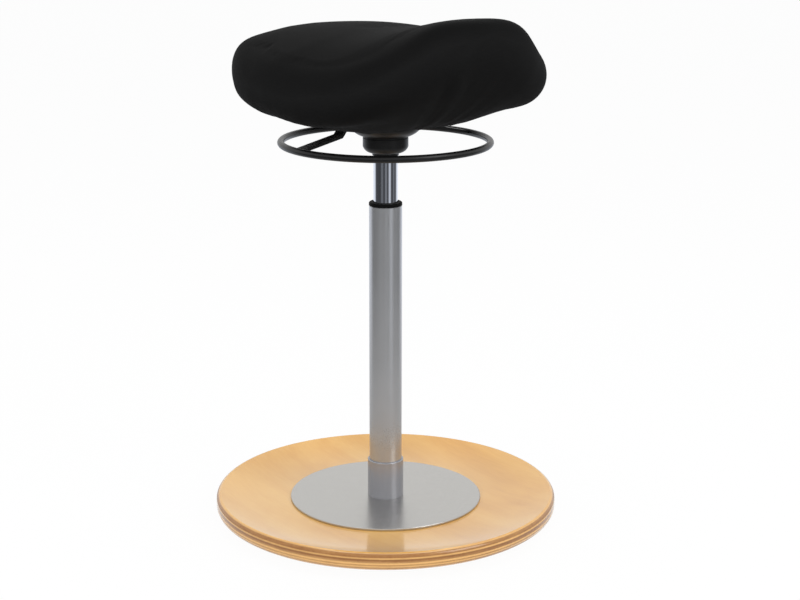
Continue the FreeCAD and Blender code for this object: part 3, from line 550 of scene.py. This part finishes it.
def distance_to_path(point, path):
    """How far a point is from a run of straight pieces, and how far along it the nearest place is, 0 to 1."""
    best = (1e9, 0.0)
    for number, (a, b) in enumerate(zip(path, path[1:])):
        a, b = Vector(a), Vector(b)
        part = max(0.0, min(1.0, (point - a).dot(b - a) / (b - a).length_squared))
        best = min(best, ((point - a.lerp(b, part)).length, (number + part) / (len(path) - 1)))
    return best


def press_creases(skin):
    skin.normal_update()
    moves = []
    for vert in skin.verts:
        lift = 0.0
        for height, width, path in CREASES:
            if (vert.co - Vector(path[len(path) // 2])).length > 80:
                continue
            away, along = distance_to_path(vert.co, path)
            lift += height * math.exp(-(away / width) ** 2) * math.sin(math.pi * (0.12 + 0.76 * along))
        if lift:
            moves.append((vert, vert.normal * lift))
    for vert, move in moves:
        vert.co += move


def gather_folds(seed, count):
    """Radial folds that the elastic pulls into the cover: place, width, height and reach of each one."""
    draw = random.Random(seed)
    folds = []
    for number in range(count):
        turn = 2 * math.pi * (number + draw.uniform(-0.32, 0.32)) / count
        folds.append((turn, draw.uniform(0.040, 0.075), draw.uniform(0.7, 1.7), draw.uniform(80.0, 125.0)))
    return folds


def pull_gathers(skin):
    """Raises the folds on the cover's underside, highest near the hem and gone above the rim."""
    folds = gather_folds(11, 34)
    skin.normal_update()
    moves = []
    for vert in skin.verts:
        radius = math.hypot(vert.co.x, vert.co.y)
        if vert.normal.z > 0.25:
            continue
        turn = math.atan2(vert.co.y, vert.co.x)
        low = min(1.0, (0.25 - vert.normal.z) / 0.5)
        lift = 0.0
        for place, width, height, reach in folds:
            away = (turn - place + math.pi) % (2 * math.pi) - math.pi
            fade = max(0.0, 1.0 - (radius - HEM_RADIUS) / reach)
            if abs(away) < 4 * width and fade > 0:
                lift += height * fade ** 0.6 * (math.exp(-(away / width) ** 2) - 0.35)
        moves.append((vert, vert.normal * lift * low))
    for vert, move in moves:
        vert.co += move


def relax_as_cloth(piece, frames, pressure, pinned, most, least):
    """Lets the cover settle as cloth, and keeps how far it moves along its normals between two limits."""
    mesh = piece.data
    start = [v.co.copy() for v in mesh.vertices]
    normals = [v.normal.copy() for v in mesh.vertices]
    group = piece.vertex_groups.new(name="held")
    group.add(pinned, 1.0, "REPLACE")
    modifier = piece.modifiers.new("settle", "CLOTH")
    cloth = modifier.settings
    cloth.quality = 5
    cloth.mass = 0.25
    cloth.tension_stiffness = 18.0
    cloth.compression_stiffness = 18.0
    cloth.shear_stiffness = 8.0
    cloth.bending_stiffness = 0.6
    cloth.air_damping = 4.0
    cloth.use_pressure = True
    cloth.uniform_pressure_force = pressure
    cloth.vertex_group_mass = "held"
    cloth.effector_weights.gravity = 0.0
    modifier.point_cache.frame_start = 1
    modifier.point_cache.frame_end = frames
    modifier.collision_settings.use_collision = False
    scene = bpy.context.scene
    for number in range(1, frames + 1):
        scene.frame_set(number)
    settled = piece.evaluated_get(bpy.context.evaluated_depsgraph_get()).data
    moved = [v.co.copy() for v in settled.vertices]
    piece.modifiers.remove(modifier)
    piece.vertex_groups.clear()
    scene.frame_set(1)
    for vert, old, normal, new in zip(mesh.vertices, start, normals, moved):
        step = new - old
        out = step.dot(normal)
        side = step - normal * out
        if side.length > 2 * most:
            side *= 2 * most / side.length
        vert.co = old + side + normal * max(least, min(most, out))
    mesh.update()


def make_cover():
    skin = polar_skin(0.0)
    inner = [vert for vert in skin.verts if not vert.is_boundary]
    for _ in range(SMOOTHINGS):
        bmesh.ops.smooth_vert(skin, verts=inner, factor=0.5, use_axis_x=True, use_axis_y=True,
                              use_axis_z=True)
    fill_out(skin)
    press_creases(skin)
    pull_gathers(skin)
    bmesh.ops.scale(skin, vec=(MM, MM, MM), verts=skin.verts)
    piece = add_piece("stretch_seat_cover", skin, FINISHES["seat_fabric"], "seat")
    rim = [v.index for v in piece.data.vertices if v.co.z < UNDERSIDE_TOP
           and abs(math.hypot(v.co.x, v.co.y) - HEM_RADIUS * MM) < RIM_SLACK]
    relax_as_cloth(piece, 20, 4.0, rim, 0.0016, -0.0004)
    wall = piece.modifiers.new("cloth_thickness", "SOLIDIFY")
    wall.thickness = CLOTH_THICK
    wall.offset = -1.0
    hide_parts("seat_cover")
    return piece


def make_hem():
    """The elastic hem: a rolled band, crowded into small gathers."""
    band = bmesh.new()
    bmesh.ops.create_circle(band, segments=20, radius=1.0, cap_ends=False)
    bmesh.ops.rotate(band, verts=band.verts, matrix=Matrix.Rotation(math.pi / 2, 3, "X"))
    middle = (HEM_RADIUS + HEM_OUTER) / 2
    bmesh.ops.scale(band, verts=band.verts, vec=(3.0, 1.0, 1.9))
    bmesh.ops.translate(band, verts=band.verts, vec=(middle, 0, 0))
    bmesh.ops.spin(band, geom=band.edges[:], cent=(0, 0, 0), axis=(0, 0, 1), angle=2 * math.pi, steps=440,
                   use_merge=True)
    form = closed_form(-2.0)
    tree = BVHTree.FromBMesh(form)
    draw = random.Random(5)
    phases = [(draw.randint(60, 110), draw.uniform(0, 6.28), draw.uniform(0.12, 0.30)) for _ in range(4)]
    for vert in band.verts:
        turn = math.atan2(vert.co.y, vert.co.x)
        radius = math.hypot(vert.co.x, vert.co.y)
        out = Vector((math.cos(turn), math.sin(turn), 0.0))
        under = tree.ray_cast(out * radius + Vector((0, 0, 400)), Vector((0, 0, 1)))[0]
        pucker = sum(size * math.sin(count * turn + start) for count, start, size in phases)
        vert.co = out * radius + Vector((0, 0, under.z + HEM_DROP + vert.co.z * (1 + 0.35 * pucker)))
    form.free()
    bmesh.ops.recalc_face_normals(band, faces=band.faces)
    bmesh.ops.scale(band, vec=(MM, MM, MM), verts=band.verts)
    piece = add_piece("gathered_elastic_hem", band, FINISHES["seat_fabric"], "seat")
    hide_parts("elastic_hem")
    return piece


def tuck_under(piece, cover, gap):
    """Presses a piece's points back to a gap inside the cover, and leaves those in its open underside."""
    outer = BVHTree.FromPolygons([v.co for v in cover.data.vertices], [f.vertices for f in cover.data.polygons])
    for vert in piece.data.vertices:
        place, normal, _, _ = outer.find_nearest(vert.co)
        if place.z < UNDERSIDE_TOP and math.hypot(place.x, place.y) < (HEM_RADIUS + 1.5) * MM:
            continue
        depth = (place - vert.co).dot(normal)
        if depth < gap:
            vert.co = place - normal * gap
    piece.data.update()


def make_foam(cover):
    """The moulded foam: the solid's form with its recess and pan bed, its edges softened."""
    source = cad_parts["seat_foam"]
    shape = bmesh.new()
    shape.from_mesh(source.data)
    bmesh.ops.transform(shape, matrix=source.matrix_world, verts=shape.verts)
    bmesh.ops.remove_doubles(shape, verts=shape.verts, dist=0.00001)
    piece = add_piece("moulded_seat_foam", shape, FINISHES["foam"], None)
    remesh = piece.modifiers.new("even", "REMESH")
    remesh.mode = "VOXEL"
    remesh.voxel_size = 0.0035
    remesh.use_smooth_shade = True
    even = bpy.data.meshes.new_from_object(piece.evaluated_get(bpy.context.evaluated_depsgraph_get()))
    piece.modifiers.clear()
    piece.data = even
    even.materials.clear()
    even.materials.append(FINISHES["foam"])
    tuck_under(piece, cover, FOAM_GAP)
    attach(piece, "seat")
    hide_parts("seat_foam")
    return piece


# Floor, light and camera.


def make_backdrop():
    floor = bmesh.new()
    bmesh.ops.create_grid(floor, x_segments=4, y_segments=4, size=12.0)
    f = Finish("pale_floor")
    rays = f.node("ShaderNodeLightPath").socket.node
    seen = Value(f, rays.outputs["Is Camera Ray"]).math("MAXIMUM", Value(f, rays.outputs["Is Glossy Ray"]))
    seen = seen.math("MAXIMUM", Value(f, rays.outputs["Is Transmission Ray"]))
    f.done(Base_Color=(0.82, 0.82, 0.82), Roughness=0.9)
    f.shader.inputs["Specular IOR Level"].default_value = 0.0
    glow = f.node("ShaderNodeEmission", None, {"Color": (1.0, 1.0, 1.0, 1.0), "Strength": 1.0})
    both = f.node("ShaderNodeMixShader", None, [seen * 0.96, Value(f, f.shader.outputs[0]), glow])
    f.tree.links.new(both.socket, f.output.inputs[0])
    piece = add_piece("studio_floor", floor, f.material, None, smooth=False)

    world = bpy.data.worlds.new("studio")
    bpy.context.scene.world = world
    world.use_nodes = True
    nodes, links = world.node_tree.nodes, world.node_tree.links
    nodes.clear()
    path = nodes.new("ShaderNodeLightPath")
    dim, white = nodes.new("ShaderNodeBackground"), nodes.new("ShaderNodeBackground")
    dim.inputs["Color"].default_value = (0.95, 0.97, 1.0, 1.0)
    dim.inputs["Strength"].default_value = 0.55
    white.inputs["Color"].default_value = (1.0, 1.0, 1.0, 1.0)
    most = nodes.new("ShaderNodeMath")
    most.operation = "MAXIMUM"
    links.new(path.outputs["Is Camera Ray"], most.inputs[0])
    links.new(path.outputs["Is Glossy Ray"], most.inputs[1])
    pick = nodes.new("ShaderNodeMath")
    pick.operation = "MAXIMUM"
    links.new(most.outputs[0], pick.inputs[0])
    links.new(path.outputs["Is Transmission Ray"], pick.inputs[1])
    mix = nodes.new("ShaderNodeMixShader")
    links.new(pick.outputs[0], mix.inputs[0])
    links.new(dim.outputs[0], mix.inputs[1])
    links.new(white.outputs[0], mix.inputs[2])
    out = nodes.new("ShaderNodeOutputWorld")
    links.new(mix.outputs[0], out.inputs[0])


def add_lamp(name, place, aim, size, power):
    data = bpy.data.lights.new(name, "AREA")
    data.shape = "RECTANGLE"
    data.size, data.size_y = size
    data.energy = power
    lamp = bpy.data.objects.new(name, data)
    lamp.location = place
    lamp.rotation_mode = "QUATERNION"
    lamp.rotation_quaternion = (Vector(aim) - Vector(place)).to_track_quat("-Z", "Y")
    bpy.context.scene.collection.objects.link(lamp)
    return lamp


def add_reflector():
    """A ring of dark and light strips on the floor that only reflections see, as the dark side of a studio."""
    shape = bmesh.new()
    bmesh.ops.create_circle(shape, segments=96, radius=REFLECTOR_OUTER, cap_ends=False)
    ring = bmesh.ops.extrude_edge_only(shape, edges=shape.edges[:])["geom"]
    inner = [item for item in ring if isinstance(item, bmesh.types.BMVert)]
    for vert in inner:
        vert.co *= REFLECTOR_INNER / REFLECTOR_OUTER
    bmesh.ops.translate(shape, verts=shape.verts, vec=(0, 0, 0.0006))
    f = Finish("reflector_strips")
    x, y, _ = f.xyz(f.stretched((1.0, 1.0, 1.0), (0.0, 0.0, FRONT_TURN)))
    around = y.math("ARCTAN2", x) / (2.0 * math.pi) + 0.5
    strips = f.ramp(around, [(stop / 360.0, grey(level)) for stop, level in STRIPS])
    strips = f.mix(1.0, strips, (0.95, 1.0, 1.10), blend="MULTIPLY")
    far = (((x * x + y * y).math("SQRT") - NEAR_FLOOR) / (FAR_FLOOR - NEAR_FLOOR)).clamped()
    seen = f.mix(far, grey(0.60), strips)
    f.done(Base_Color=(0.0, 0.0, 0.0), Roughness=1.0, Emission_Color=seen, Emission_Strength=1.0)
    f.shader.inputs["Specular IOR Level"].default_value = 0.0
    panel = add_piece("studio_reflector", shape, f.material, None, smooth=False)
    panel.visible_camera = False
    panel.visible_diffuse = False
    panel.visible_shadow = False
    panel.visible_transmission = False


# Strips of the reflector by degrees round from the back: how bright the floor reflects there.
STRIPS = [(0, 1.0), (60, 1.0), (80, 0.08), (132, 0.06), (140, 0.17), (156, 0.17), (160, 0.07), (172, 0.07),
          (178, 0.24), (190, 0.24), (196, 0.08), (206, 0.10), (214, 0.68), (226, 0.68), (234, 0.10), (254, 0.08),
          (260, 0.25), (270, 0.12), (290, 0.12), (312, 1.0), (360, 1.0)]
REFLECTOR_INNER = 0.26
REFLECTOR_OUTER = 6.0
NEAR_FLOOR = 0.35
FAR_FLOOR = 1.35
FRONT_TURN = math.radians(126.0)
LOOK = Vector((0.5878, 0.8090, 0.0)).normalized()
PITCH = math.radians(14.6)


def make_camera():
    data = bpy.data.cameras.new("photo_camera")
    data.sensor_width = 36.0
    data.lens = 76.455
    data.shift_x = 0.018
    data.clip_end = 60.0
    camera = bpy.data.objects.new("photo_camera", data)
    camera.location = (-1.1239, -1.5469, 0.762)
    way = LOOK * math.cos(PITCH) - Vector((0, 0, math.sin(PITCH)))
    camera.rotation_mode = "QUATERNION"
    camera.rotation_quaternion = way.to_track_quat("-Z", "Y")
    bpy.context.scene.collection.objects.link(camera)
    bpy.context.scene.camera = camera


def make_lights():
    right = Vector((LOOK.y, -LOOK.x, 0.0))
    target = (0.0, 0.0, 0.30)
    add_lamp("key_softbox", -LOOK * 1.2 + right * 1.9 + Vector((0, 0, 1.9)), target, (1.4, 1.4), 24.0)
    fill = add_lamp("fill_softbox", -LOOK * 1.0 - right * 2.1 + Vector((0, 0, 1.5)), target, (1.4, 1.4), 12.0)
    fill.visible_glossy = False
    front = add_lamp("front_softbox", -LOOK * 2.6 + Vector((0, 0, 1.3)), target, (1.6, 1.6), 34.0)
    front.visible_glossy = False
    add_lamp("top_softbox", LOOK * 0.2 + Vector((0, 0, 2.4)), target, (1.8, 1.8), 23.0)
    add_reflector()


bpy.context.scene.view_settings.view_transform = "Standard"
make_camera()
make_backdrop()
make_lights()
dress_cad_nodes()
make_foam(make_cover())
make_hem()
